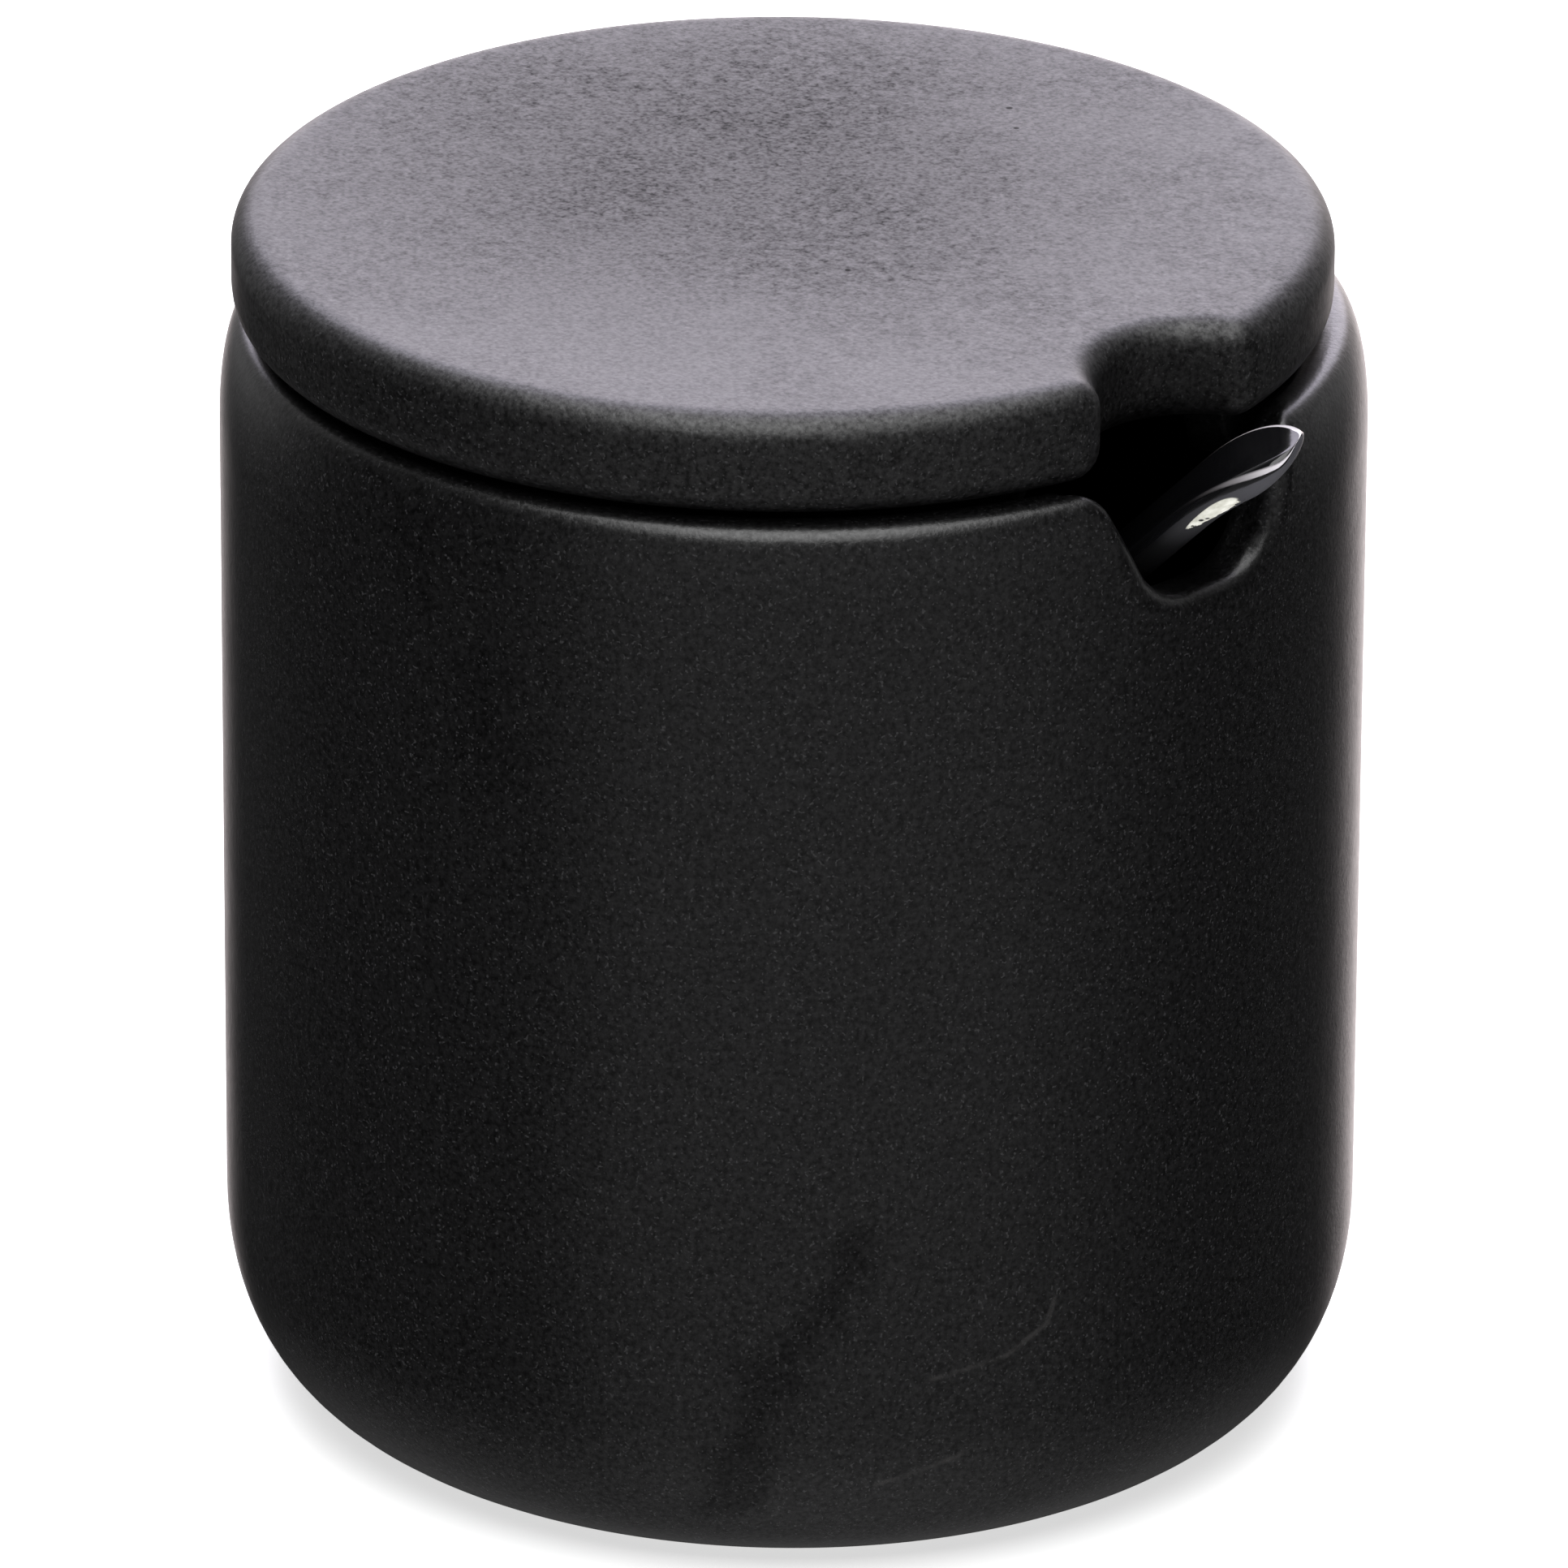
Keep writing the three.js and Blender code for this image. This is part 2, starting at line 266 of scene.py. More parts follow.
class Rim:
    """The bowl's upper edge as a loop of columns: through the notch, then round the mouth."""

    def __init__(self):
        notch = notch_half()
        rest = np.linspace(0, 1, RIM_COLUMNS + 1)[1:]
        self.across = notch[:, 0]
        self.height = np.concatenate([notch[:, 1], np.full(len(rest), RIM_Z)])
        self.into_y = np.concatenate([notch[:, 2], np.zeros(len(rest))])
        self.into_z = np.concatenate([notch[:, 3], np.full(len(rest), -1.0)])
        self.rest = rest
        steps = np.hypot(np.diff(notch[:, 0]), np.diff(notch[:, 1]))
        notch_length = np.concatenate([[0], np.cumsum(steps)])
        round_length = math.pi * BODY_RADIUS - notch[-1, 0]
        lengths = np.concatenate([notch_length, notch_length[-1] + rest * round_length])
        self.even_angle = math.pi * lengths / lengths[-1]

    def angles(self, radius, distance):
        """Each column's angle at this radius, this far from the edge."""
        notch_count = len(self.across)
        across = self.across + self.into_y[:notch_count] * distance
        in_notch = np.arcsin(across / radius)
        after = in_notch[-1] + (math.pi - in_notch[-1]) * self.rest
        return np.concatenate([in_notch, after])

    def ring(self, angles, radius, height):
        """A closed row of points from half a row of angles, radii and heights."""
        radius = np.broadcast_to(radius, angles.shape)
        height = np.broadcast_to(height, angles.shape)
        x = mirrored(radius * np.cos(angles), 1)
        y = mirrored(radius * np.sin(angles), -1)
        return np.stack([x, y, mirrored(height, 1)], axis=1)


def wall_rows(rim, radius_at, nominal_radius, edge_distances, side_steps):
    """Rows from the rim's edge down one side of the wall to the first even row."""
    rows = []
    for distance in edge_distances:
        height = rim.height + rim.into_z * distance
        rows.append(rim.ring(rim.angles(nominal_radius, distance), radius_at(height, distance), height))
    start_angles = rim.angles(nominal_radius, edge_distances[-1])
    start_height = rim.height + rim.into_z * edge_distances[-1]
    for k in range(1, side_steps + 1):
        share = (k / side_steps) ** 1.5
        height = start_height + (BOWL_EVEN_Z - start_height) * share
        angles = start_angles + (rim.even_angle - start_angles) * ease(share)
        rows.append(rim.ring(angles, radius_at(height), height))
    return rows


def even_row(rim, radius, height):
    return rim.ring(rim.even_angle, radius, height)


def outer_radius(height, edge_distance=BODY_RADIUS):
    """The bowl's outside at a height, this far from the rim's edge, or else well away from it."""
    shoulder = corner_inset(RIM_Z - height, SHOULDER_CORNER)
    foot = corner_inset(height, FOOT_CORNER)
    return BODY_RADIUS - np.hypot(shoulder, round_inset(edge_distance, EDGE_ROUNDING)) - foot


def inner_radius(height, edge_distance=BODY_RADIUS):
    """The bowl's inside at a height, this far from the rim's edge, or else well away from it."""
    return (MOUTH_RADIUS + round_inset(edge_distance, EDGE_ROUNDING)
            - corner_inset(height - FLOOR_Z, INSIDE_CORNER))


def outside_rows(rim, edge_distances):
    """Rows from the rim down the outside, round the foot and in under the base."""
    rows = wall_rows(rim, outer_radius, BODY_RADIUS, edge_distances, 30)
    heights = [*np.linspace(BOWL_EVEN_Z, FOOT_CORNER[1], 12)[1:], *corner_distances(FOOT_CORNER, 20)[1:]]
    rows += [even_row(rim, outer_radius(height), height) for height in heights]
    foot_edge = BODY_RADIUS - FOOT_CORNER[0]
    rows += [even_row(rim, radius, 0.0) for radius in np.linspace(foot_edge, FOOT_RING_INNER, 5)[1:]]
    for share in np.linspace(0, 1, 5)[1:]:
        rows.append(even_row(rim, FOOT_RING_INNER - FOOT_RECESS_SLOPE * share, FOOT_RECESS * ease(share)))
    recess_edge = FOOT_RING_INNER - FOOT_RECESS_SLOPE
    for radius in np.linspace(recess_edge, BOWL_CENTRE_RADIUS, 9)[1:]:
        rows.append(even_row(rim, radius, FOOT_RECESS))
    return rows


def inside_rows(rim, edge_distances):
    """Rows from the rim down the inside and in over the floor."""
    rows = wall_rows(rim, inner_radius, MOUTH_RADIUS, edge_distances, 20)
    corner_top = FLOOR_Z + INSIDE_CORNER[1]
    corner = FLOOR_Z + corner_distances(INSIDE_CORNER, 16)[1:]
    heights = [*np.linspace(BOWL_EVEN_Z, corner_top, 9)[1:], *corner]
    rows += [even_row(rim, inner_radius(height), height) for height in heights]
    floor_edge = MOUTH_RADIUS - INSIDE_CORNER[0]
    for radius in np.linspace(floor_edge, BOWL_CENTRE_RADIUS, 9)[1:]:
        rows.append(even_row(rim, radius, FLOOR_Z))
    return rows


def make_bowl():
    rim = Rim()
    rounding = EDGE_ROUNDING * (1 - np.cos(np.linspace(0, math.pi / 2, 9)))
    edge_distances = [*rounding, EDGE_ROUNDING * 1.3]
    outer = outside_rows(rim, edge_distances)
    inner = inside_rows(rim, edge_distances)
    flat = [inner[0] + (outer[0] - inner[0]) * share for share in (0.25, 0.5, 0.75)]
    rows = outer[::-1] + flat[::-1] + inner
    bowl = closed_surface("bowl_body", rows, (0, 0, FOOT_RECESS), (0, 0, FLOOR_Z))
    return set_in_place(bowl, BOWL_TURN, Vector())


# ================================================================ lid
def lid_outline_half():
    """Half of the lid's outline from the notch's deepest point: place and outward direction."""
    inside = LID_RADIUS - LID_NOTCH_CORNER
    beyond = LID_NOTCH_RADIUS + LID_NOTCH_CORNER
    corner_x = (inside**2 - beyond**2 + LID_NOTCH_CENTRE**2) / (2 * LID_NOTCH_CENTRE)
    corner_y = math.sqrt(inside**2 - corner_x**2)
    notch_end = math.atan2(corner_y, corner_x - LID_NOTCH_CENTRE)
    edge_start = math.atan2(corner_y, corner_x)
    points = []
    for a in np.linspace(math.pi, notch_end, 25):
        way = (math.cos(a), math.sin(a))
        points.append((LID_NOTCH_CENTRE + LID_NOTCH_RADIUS * way[0], LID_NOTCH_RADIUS * way[1],
                       -way[0], -way[1]))
    for a in np.linspace(notch_end - math.pi, edge_start, 13)[1:]:
        way = (math.cos(a), math.sin(a))
        points.append((corner_x + LID_NOTCH_CORNER * way[0], corner_y + LID_NOTCH_CORNER * way[1], *way))
    for a in np.linspace(edge_start, math.pi, 97)[1:]:
        way = (math.cos(a), math.sin(a))
        points.append((LID_RADIUS * way[0], LID_RADIUS * way[1], *way))
    return np.array(points)


def mirror_plan(half):
    """A closed plan loop from half of it, given as x and y columns."""
    return np.stack([mirrored(half[:, 0], 1), mirrored(half[:, 1], -1)], axis=1)


def distance_to_loop(points, loop):
    """Shortest distance from each plan point to a closed polyline."""
    a, b = loop, np.roll(loop, -1, axis=0)
    side = b - a
    length = np.maximum((side**2).sum(1), 1e-12)
    t = np.clip(((points[:, None] - a) * side).sum(2) / length, 0, 1)
    return np.linalg.norm(points[:, None] - (a + t[..., None] * side), axis=2).min(1)


def at_height(plan, height):
    """Points from a plan loop and one height or one for each point."""
    return np.column_stack([plan, np.broadcast_to(height, len(plan))])


def lid_top_row(plan, outline):
    """A plan loop laid on the lid's top, which rounds down towards the outline."""
    drop = round_inset(distance_to_loop(plan, outline), LID_TOP_ROUNDING)
    return at_height(plan, LID_THICKNESS - drop)


def lid_upper_rows(outline, outward, even_way):
    """Rows from the top's middle out to the side and round under, and their last plan loop."""
    rows = [lid_top_row(even_way * radius, outline)
            for radius in np.linspace(LID_CENTRE_RADIUS, LID_EVEN_RADIUS, 12)]
    edge_turns = np.linspace(LID_EDGE_TURN, 0, 9)
    edge_insets = LID_TOP_ROUNDING * (1 - np.cos(edge_turns))
    inner_plan = even_way * LID_EVEN_RADIUS
    outer_plan = outline - outward * edge_insets[0]
    for share in 1 - np.linspace(1, 0, 19)[1:-1] ** 1.5:
        rows.append(lid_top_row(inner_plan + (outer_plan - inner_plan) * share, outline))
    side_top = LID_THICKNESS - LID_TOP_ROUNDING
    for inset, turn in zip(edge_insets, edge_turns):
        rows.append(at_height(outline - outward * inset, side_top + LID_TOP_ROUNDING * math.sin(turn)))
    rows += [at_height(outline, z) for z in np.linspace(side_top, LID_UNDER_ROUNDING, 5)[1:]]
    for turn in np.linspace(0, math.pi / 2, 8)[1:]:
        plan = outline - outward * LID_UNDER_ROUNDING * (1 - math.cos(turn))
        rows.append(at_height(plan, LID_UNDER_ROUNDING * (1 - math.sin(turn))))
    return rows, plan


def lid_ring_rows(even_way):
    """Rows over the ring under the lid, from outside in: it is open across the notch."""
    angle = np.abs(np.arctan2(even_way[:, 1], even_way[:, 0]))
    gap = math.asin(RING_GAP_HALF_WIDTH / RING_MIDDLE_RADIUS)
    stands = ease((angle - gap) / RING_END_SLOPE)
    inward = 1 - ease((angle - gap * 0.55) / (gap * 0.45))
    middle = RING_MIDDLE_RADIUS - RING_END_INWARD * inward
    half_profile = [(1.0, 0.0), (1.0, 0.5), (1.0, 0.86), (0.9, 0.96), (0.7, 1.0), (0.0, 1.0)]
    profile = half_profile + [(-across, down) for across, down in half_profile[-2::-1]]
    return [
        at_height(even_way * (middle + RING_HALF_WIDTH * across)[:, None], -RING_DEPTH * down * stands)
        for across, down in profile
    ]


def make_lid():
    half = lid_outline_half()
    outline = mirror_plan(half[:, :2])
    outward = mirror_plan(half[:, 2:])
    steps = np.linalg.norm(np.diff(half[:, :2], axis=0), axis=1)
    lengths = np.concatenate([[0], np.cumsum(steps)])
    even = math.pi * lengths / lengths[-1]
    even_way = mirror_plan(np.column_stack([np.cos(even), np.sin(even)]))

    rows, under_plan = lid_upper_rows(outline, outward, even_way)
    ring_rows = lid_ring_rows(even_way)
    ring_plan = ring_rows[0][:, :2]
    rows += [at_height(under_plan + (ring_plan - under_plan) * s, 0.0) for s in (0.25, 0.5, 0.75)]
    rows += ring_rows
    inside_plan = ring_rows[-1][:, :2]
    rows += [at_height(inside_plan * s, 0.0) for s in np.linspace(1, 0.04, 10)[1:]]
    lid = closed_surface("lid_disc", rows, (0, 0, LID_THICKNESS), (0, 0, 0))
    return set_in_place(lid, Euler(), LID_CENTRE + Vector((0, 0, LID_UNDER_Z)))


# ================================================================ spoon
def round_end(distance, end):
    """0 at a rounded end, 1 from its length inwards."""
    length, power = end
    t = np.clip(1 - distance / length, 0, 1)
    return (1 - t**power) ** (1 / power)


def scoop_share(x):
    """1 in the scoop, 0 in the handle."""
    return 1 - float(ease((x - SCOOP_WIDEST_X) / (NECK_X - SCOOP_WIDEST_X)))


def spoon_spine(x):
    """Height of the spoon's middle line: the scoop rises to its end, and the handle's end droops."""
    scoop_in = max(0.0, NECK_X - x)
    depth, length, power = HANDLE_DROOP
    droop = max(0.0, 1 - (SPOON_LENGTH - x) / length)
    return scoop_in**2 / (2 * SCOOP_LIFT_RADIUS) - depth * droop**power


def spoon_section(x):
    """One ring round the spoon: a rounded lip, a hollow upper side and a full underside."""
    from_end = x - END_TRIM
    to_tip = SPOON_LENGTH - END_TRIM - x
    share = scoop_share(x)
    widening = np.clip((x - NECK_X) / (HANDLE_FULL_WIDTH_X - NECK_X), 0, 1)
    handle_width = NECK_HALF_WIDTH + (HANDLE_HALF_WIDTH - NECK_HALF_WIDTH) * widening
    plan_end = round_end(from_end, SCOOP_END) * round_end(to_tip, HANDLE_WIDTH_END)
    depth_end = round_end(from_end, SCOOP_END) * round_end(to_tip, HANDLE_DEPTH_END)
    half_width = (handle_width + (SCOOP_HALF_WIDTH - handle_width) * share) * plan_end
    dish = (HANDLE_DISH + (SCOOP_DISH - HANDLE_DISH) * share) * depth_end**2
    belly = dish * share + SPOON_THICKNESS * depth_end
    lip = min(LIP_HEIGHT[0] + LIP_HEIGHT[1] * share, LIP_SHARE * half_width, LIP_SHARE * belly)

    under_count = SPOON_RING // 2
    top_count = SPOON_RING + 1 - under_count - 2 * LIP_STEPS
    inner = half_width - lip
    points = []
    for a in np.linspace(math.pi, 2 * math.pi, under_count, endpoint=False):
        points.append((half_width * math.cos(a), -lip + (belly - lip) * math.sin(a)))
    for a in np.linspace(0, math.pi / 2, LIP_STEPS, endpoint=False):
        points.append((inner + lip * math.cos(a), -lip + lip * math.sin(a)))
    for u in np.cos(np.linspace(0, math.pi, top_count)):
        points.append((inner * u, -dish * (1 - u * u) ** HOLLOW_POWER))
    for a in np.linspace(math.pi / 2, math.pi, LIP_STEPS, endpoint=False)[1:]:
        points.append((-inner + lip * math.cos(a), -lip + lip * math.sin(a)))
    spine = spoon_spine(x)
    return np.array([(x, y, spine + z) for y, z in points])


def lip_marks(x):
    """Marks round the section at x: -1 underneath, 1 on the lips, fading over the upper side.

    Towards the handle's end the near lip's marks move down its side.
    """
    index = np.arange(SPOON_RING)
    half = SPOON_RING // 2
    start, end, most = LIP_MARKS_MOVE
    down = most * np.interp(x, (start, end), (0, 1)) ** 2
    near = np.interp((half - index) % SPOON_RING - half + down, *LIP_MARKS)
    far = np.interp(index - half, *LIP_MARKS)
    return np.maximum(near, far)


def make_spoon():
    turns = np.linspace(0, math.pi, SPOON_ROWS + 2)[1:-1]
    reach = SPOON_LENGTH - 2 * END_TRIM
    stations = END_TRIM + reach * (1 - np.cos(turns)) / 2
    rows = [spoon_section(x) for x in stations]
    start_pole = tuple(rows[0].mean(0) - (0.01, 0, 0))
    end_pole = tuple(rows[-1].mean(0) + (0.01, 0, 0))
    marks = [lip_marks(x) for x in stations]
    spoon = closed_surface("spoon_body", rows, start_pole, end_pole, marks)
    along = SPOON_TURN.to_matrix() @ Vector((SPOON_OUTSIDE - SPOON_LENGTH, 0, 0))
    return set_in_place(spoon, SPOON_TURN, SPOON_CROSSING + along)


# ================================================================ node helpers
class Nodes:
    """Short calls to build a node tree. A value is a socket or a number."""

    def __init__(self, tree):
        self.tree = tree

    def add(self, kind, **settings):
        node = self.tree.nodes.new(kind)
        for key, value in settings.items():
            setattr(node, key, value)
        return node

    def link(self, output, socket):
        self.tree.links.new(output, socket)

    def ramp(self, value, low, high, to_low=0.0, to_high=1.0):
        """Rescales a value from low..high to to_low..to_high, and holds it there."""
        node = self.add("ShaderNodeMapRange")
        numbers = {"From Min": low, "From Max": high, "To Min": to_low, "To Max": to_high}
        for socket, number in numbers.items():
            node.inputs[socket].default_value = number
        self.link(value, node.inputs["Value"])
        return node.outputs["Result"]

    def math(self, operation, a, b=0.0):
        node = self.add("ShaderNodeMath", operation=operation)
        for socket, value in zip(node.inputs, (a, b)):
            if isinstance(value, (int, float)):
                socket.default_value = value
            else:
                self.link(value, socket)
        return node.outputs[0]

    def product(self, first, *others):
        for other in others:
            first = self.math("MULTIPLY", first, other)
        return first

    def total(self, first, *others):
        for other in others:
            first = self.math("ADD", first, other)
        return first

    def length(self, a, b):
        """Length of a plane vector with these parts."""
        return self.math("SQRT", self.total(self.product(a, a), self.product(b, b)))

    def mix(self, factor, a, b):
        """Mixes two colours, each a tuple or a socket."""
        node = self.add("ShaderNodeMix", data_type="RGBA")
        self.link(factor, node.inputs[0])
        for socket, value in zip((node.inputs[6], node.inputs[7]), (a, b)):
            if isinstance(value, tuple):
                socket.default_value = (*value, 1)
            else:
                self.link(value, socket)
        return node.outputs[2]

    def vector(self, operation, a, b, output="Vector"):
        """Vector arithmetic on sockets and tuples."""
        node = self.add("ShaderNodeVectorMath", operation=operation)
        for socket, value in zip(node.inputs, (a, b)):
            if isinstance(value, tuple):
                socket.default_value = value
            else:
                self.link(value, socket)
        return node.outputs[output]

    def scaled(self, vector, factor):
        """A vector, tuple or socket, times a number or a socket."""
        node = self.add("ShaderNodeVectorMath", operation="SCALE")
        for socket, value in ((node.inputs[0], vector), (node.inputs["Scale"], factor)):
            if isinstance(value, (float, tuple)):
                socket.default_value = value
            else:
                self.link(value, socket)
        return node.outputs[0]


class Paint(Nodes):
    """The nodes of a surface, which read each point's place in the piece's own frame."""

    def __init__(self, name):
        self.material = bpy.data.materials.new(name)
        self.material.use_nodes = True
        super().__init__(self.material.node_tree)
        self.shader = self.tree.nodes["Principled BSDF"]
        place = self.add("ShaderNodeAttribute", attribute_name="own").outputs["Vector"]
        self.place_mm = self.scaled(place, 1 / MM)

    def set(self, name, value):
        """Links a value to one of the shader's inputs."""
        self.link(value, self.shader.inputs[name])

    def current(self, name):
        """What a shader input is linked to at the moment."""
        return self.shader.inputs[name].links[0].from_socket

    def position(self):
        """A point of the piece in millimetres, as x, y and z."""
        split = self.add("ShaderNodeSeparateXYZ")
        self.link(self.place_mm, split.inputs[0])
        return split.outputs

    def noise(self, size, detail=3.0, roughness=0.5, offset=(0, 0, 0)):
        """Noise between 0 and 1 with features of about this size, moved by an offset."""
        noise = self.add("ShaderNodeTexNoise")
        noise.inputs["Scale"].default_value = 1 / size
        noise.inputs["Detail"].default_value = detail
        noise.inputs["Roughness"].default_value = roughness
        self.link(self.vector("ADD", self.place_mm, offset), noise.inputs["Vector"])
        return noise.outputs["Fac"]

    def bump(self, height, distance, over=None):
        """A normal that follows a height of this distance, on top of another normal."""
        node = self.add("ShaderNodeBump")
        node.inputs["Distance"].default_value = distance * MM
        self.link(height, node.inputs["Height"])
        if over is not None:
            self.link(over, node.inputs["Normal"])
        return node.outputs["Normal"]

    def from_line(self, start, end):
        """Distance from the straight line between two points."""
        along = np.subtract(end, start)
        away = self.vector("SUBTRACT", self.place_mm, tuple(start))
        reach = self.vector("DOT_PRODUCT", away, tuple(along / along.dot(along)), "Value")
        nearest = self.scaled(tuple(along), self.ramp(reach, 0, 1))
        return self.vector("DISTANCE", away, nearest, "Value")


# ================================================================ glazes
MATTE_DARK = (0.001, 0.001, 0.00105)
MATTE_LIGHT = (0.0055, 0.0054, 0.0057)
GLINT_PAINT = (0.03, 0.03, 0.031)
SPECK = (0.001, 0.001, 0.001)
# Pale specks painted in as the glaze's sparkling glints
SCUFF = (0.018, 0.017, 0.0165)
FOOT_CLAY = ((0.42, 0.37, 0.30), (0.58, 0.53, 0.45))
GLOSS = (0.004, 0.004, 0.0045)
# A paler colour painted on the handle's underside as a reflected sheen
PAINTED_UNDER_SHEEN = (0.05, 0.05, 0.058)
LIP_HIGHLIGHT_PAINT = ((0.20, 0.17, 0.16), (0.72, 0.69, 0.72))    # painted highlight colours on the handle's lips: inwards on the handle, at its end
HANDLE_CLAY = ((0.50, 0.50, 0.42), (0.74, 0.74, 0.66))
HANDLE_SPECK = (0.03, 0.03, 0.03)

# Sizes of what the noises draw, in millimetres
GRAIN_SIZE = 0.40
GLINT_SIZE = 0.22
SPECKLE_SIZE = 1.1
CLOUD_SIZE = 17
DENT_SIZE = 6
MOTTLE_REACH = (40, 8)                 # from the mottles' centre: none, all

# How strongly the matte glaze mirrors light, and how rough it is
MATTE_LEVEL = 0.6
LEAST_LEVEL = 0.05
WORN_LEVEL = 0.22                      # how much mottles take from the level
MIDDLE_LEVEL = 0.26                    # how much the middle of the mottles takes
SPECK_LEVEL = 0.1                      # the share that a dark speck leaves
SMUDGE_LEVEL = 0.52                    # the share that a dull patch leaves
FLECK_ROUGHNESS = 0.02                 # more in the grain's light flecks, less between them
WORN_ROUGHNESS = 0.08
MIDDLE_ROUGHNESS = 0.05

# Where marks on the bowl begin and are complete
SMUDGE_CORE = 0.25                     # the share of its radius where a patch is at its dullest
SCUFF_HALF_WIDTH = (0.30, 0.08)
FOOT_WIPED_Z = (0.22, 0.12)
FOOT_WIPED_WIDTH = 0.3

# The spoon's handle, by x along it and by the marks on its lips
BARE_PATCH_WIDTHS = (0.55, 1.35)       # shares of its half width, at its inner and outer end
BARE_SIDE_Y = (-1.5, -2.0)
UNDERSIDE_MARKS = (-0.2, -0.9)
# where the underside's painted sheen fades in along the handle
UNDERSIDE_SHEEN_X = (99, 109)
GLOSS_ROUGHNESS = (0.06, 0.12)
UNDERSIDE_ROUGHNESS = 0.36             # how much rougher the underside is
# Where pale highlight lines are painted along the handle's lips
HIGHLIGHT_PALE_X = (102, 110)
HIGHLIGHT_WIDENS_X = (103, 111)
HIGHLIGHT_MARKS = (0.95, 0.62)              # the least mark where the highlight is painted, at those two places
HIGHLIGHT_MARK_FAR = 0.3                    # how much less it is on the far lip
HIGHLIGHT_NEAR_X = (97, 111)
HIGHLIGHT_NEAR_POWER = 5.0
HIGHLIGHT_FAR_X = (100, 104)


def matte_glaze(name, roughness, worn, contrast):
    """Matte black glaze: fine grain, painted glints standing for sparkling crystals, and soft worn mottles
    in this amount.
    """
    m = Paint(name)
    x, y, _ = m.position()
    grain = m.noise(GRAIN_SIZE, 3.0, 0.6)
    fleck = m.ramp(grain, 0.34, 0.66)
    painted_glint = m.ramp(m.noise(GLINT_SIZE, 0.0, 0.5, (700, 400, 100)), 0.68, 0.78)
    middle = m.length(m.math("SUBTRACT", x, MOTTLE_CENTRE[0]), m.math("SUBTRACT", y, MOTTLE_CENTRE[1]))
    middle = m.ramp(middle, *MOTTLE_REACH)
    clouds = m.total(m.noise(CLOUD_SIZE, 3.0, 0.55, (50, 20, 70)), m.ramp(middle, 0, 1, -0.05, 0.10))
    clouds = m.ramp(clouds, 0.36, 0.66, 0.25, 1.0)
    speckle = m.ramp(m.noise(SPECKLE_SIZE, 4.0, 0.7, (300, 100, 200)), 0.36, 0.66)
    mottle = m.product(speckle, clouds, worn)

    colour = m.mix(fleck, MATTE_DARK, MATTE_LIGHT)
    # Painted glints: tiny pale specks in the base colour
    m.set("Base Color", m.mix(m.product(painted_glint, 0.7), colour, GLINT_PAINT))
    rough = m.ramp(fleck, 0, 1, roughness - FLECK_ROUGHNESS, roughness + FLECK_ROUGHNESS)
    rough = m.total(rough, m.product(mottle, WORN_ROUGHNESS), m.product(middle, MIDDLE_ROUGHNESS * worn))
    m.set("Roughness", rough)
    level = m.ramp(fleck, 0, 1, MATTE_LEVEL - contrast, MATTE_LEVEL + contrast)
    level = m.total(level, m.product(mottle, -WORN_LEVEL), m.product(middle, -MIDDLE_LEVEL * worn))
    m.set("Specular IOR Level", m.math("MAXIMUM", level, LEAST_LEVEL))
    bump = m.bump(grain, 0.02 + 0.03 * contrast)
    m.set("Normal", m.bump(m.noise(DENT_SIZE, 2.0), 0.05, over=bump))
    return m


def lid_glaze():
    """The matte glaze with a few dark specks in the upper side."""
    m = matte_glaze("lid_glaze", roughness=0.46, worn=1.0, contrast=0.23)
    x, y, _ = m.position()
    colour = m.current("Base Color")
    level = m.current("Specular IOR Level")
    for speck_x, speck_y, size in LID_SPECKS:
        away = m.length(m.math("SUBTRACT", x, speck_x), m.math("SUBTRACT", y, speck_y))
        speck = m.ramp(away, size, size * 0.6)
        colour = m.mix(speck, colour, SPECK)
        level = m.product(level, m.ramp(speck, 0, 1, 1.0, SPECK_LEVEL))
    m.set("Base Color", colour)
    m.set("Specular IOR Level", level)
    return m.material


def bowl_glaze():
    """The matte glaze with dull patches and scuffs, wiped off the ring the bowl stands on."""
    m = matte_glaze("bowl_glaze", roughness=0.33, worn=0.4, contrast=0.14)
    x, y, z = m.position()
    uneven = m.ramp(m.noise(5, 4.0, 0.6, (400, 200, 600)), 0.3, 0.7, -1.6, 1.6)
    dull = 0.0
    for start, end, radius in BOWL_SMUDGES:
        away = m.total(m.from_line(start, end), uneven)
        dull = m.math("MAXIMUM", m.ramp(away, radius, radius * SMUDGE_CORE), dull)
    level = m.product(m.current("Specular IOR Level"), m.ramp(dull, 0, 1, 1.0, SMUDGE_LEVEL))

    colour = m.current("Base Color")
    broken = m.ramp(m.noise(1.2, 3.0, 0.6, (900, 100, 300)), 0.36, 0.62, 0.25, 1.0)
    for start, end in BOWL_SCUFFS:
        scuff = m.product(m.ramp(m.from_line(start, end), *SCUFF_HALF_WIDTH), broken)
        colour = m.mix(scuff, colour, SCUFF)

    wobble = m.ramp(m.noise(4, 3.0), 0.3, 0.7, -0.5, 0.5)
    radius = m.total(m.length(x, y), wobble)
    bare_edge = FOOT_RING_INNER - FOOT_RECESS_SLOPE
    bare = m.product(m.ramp(z, *FOOT_WIPED_Z), m.ramp(radius, bare_edge, bare_edge + FOOT_WIPED_WIDTH))
    clay = m.mix(m.ramp(m.noise(0.5, 4.0), 0.35, 0.65), *FOOT_CLAY)
    m.set("Base Color", m.mix(bare, colour, clay))
    m.set("Specular IOR Level", level)
    m.set("Roughness", m.math("MAXIMUM", m.current("Roughness"), m.product(bare, 0.85)))
    return m.material


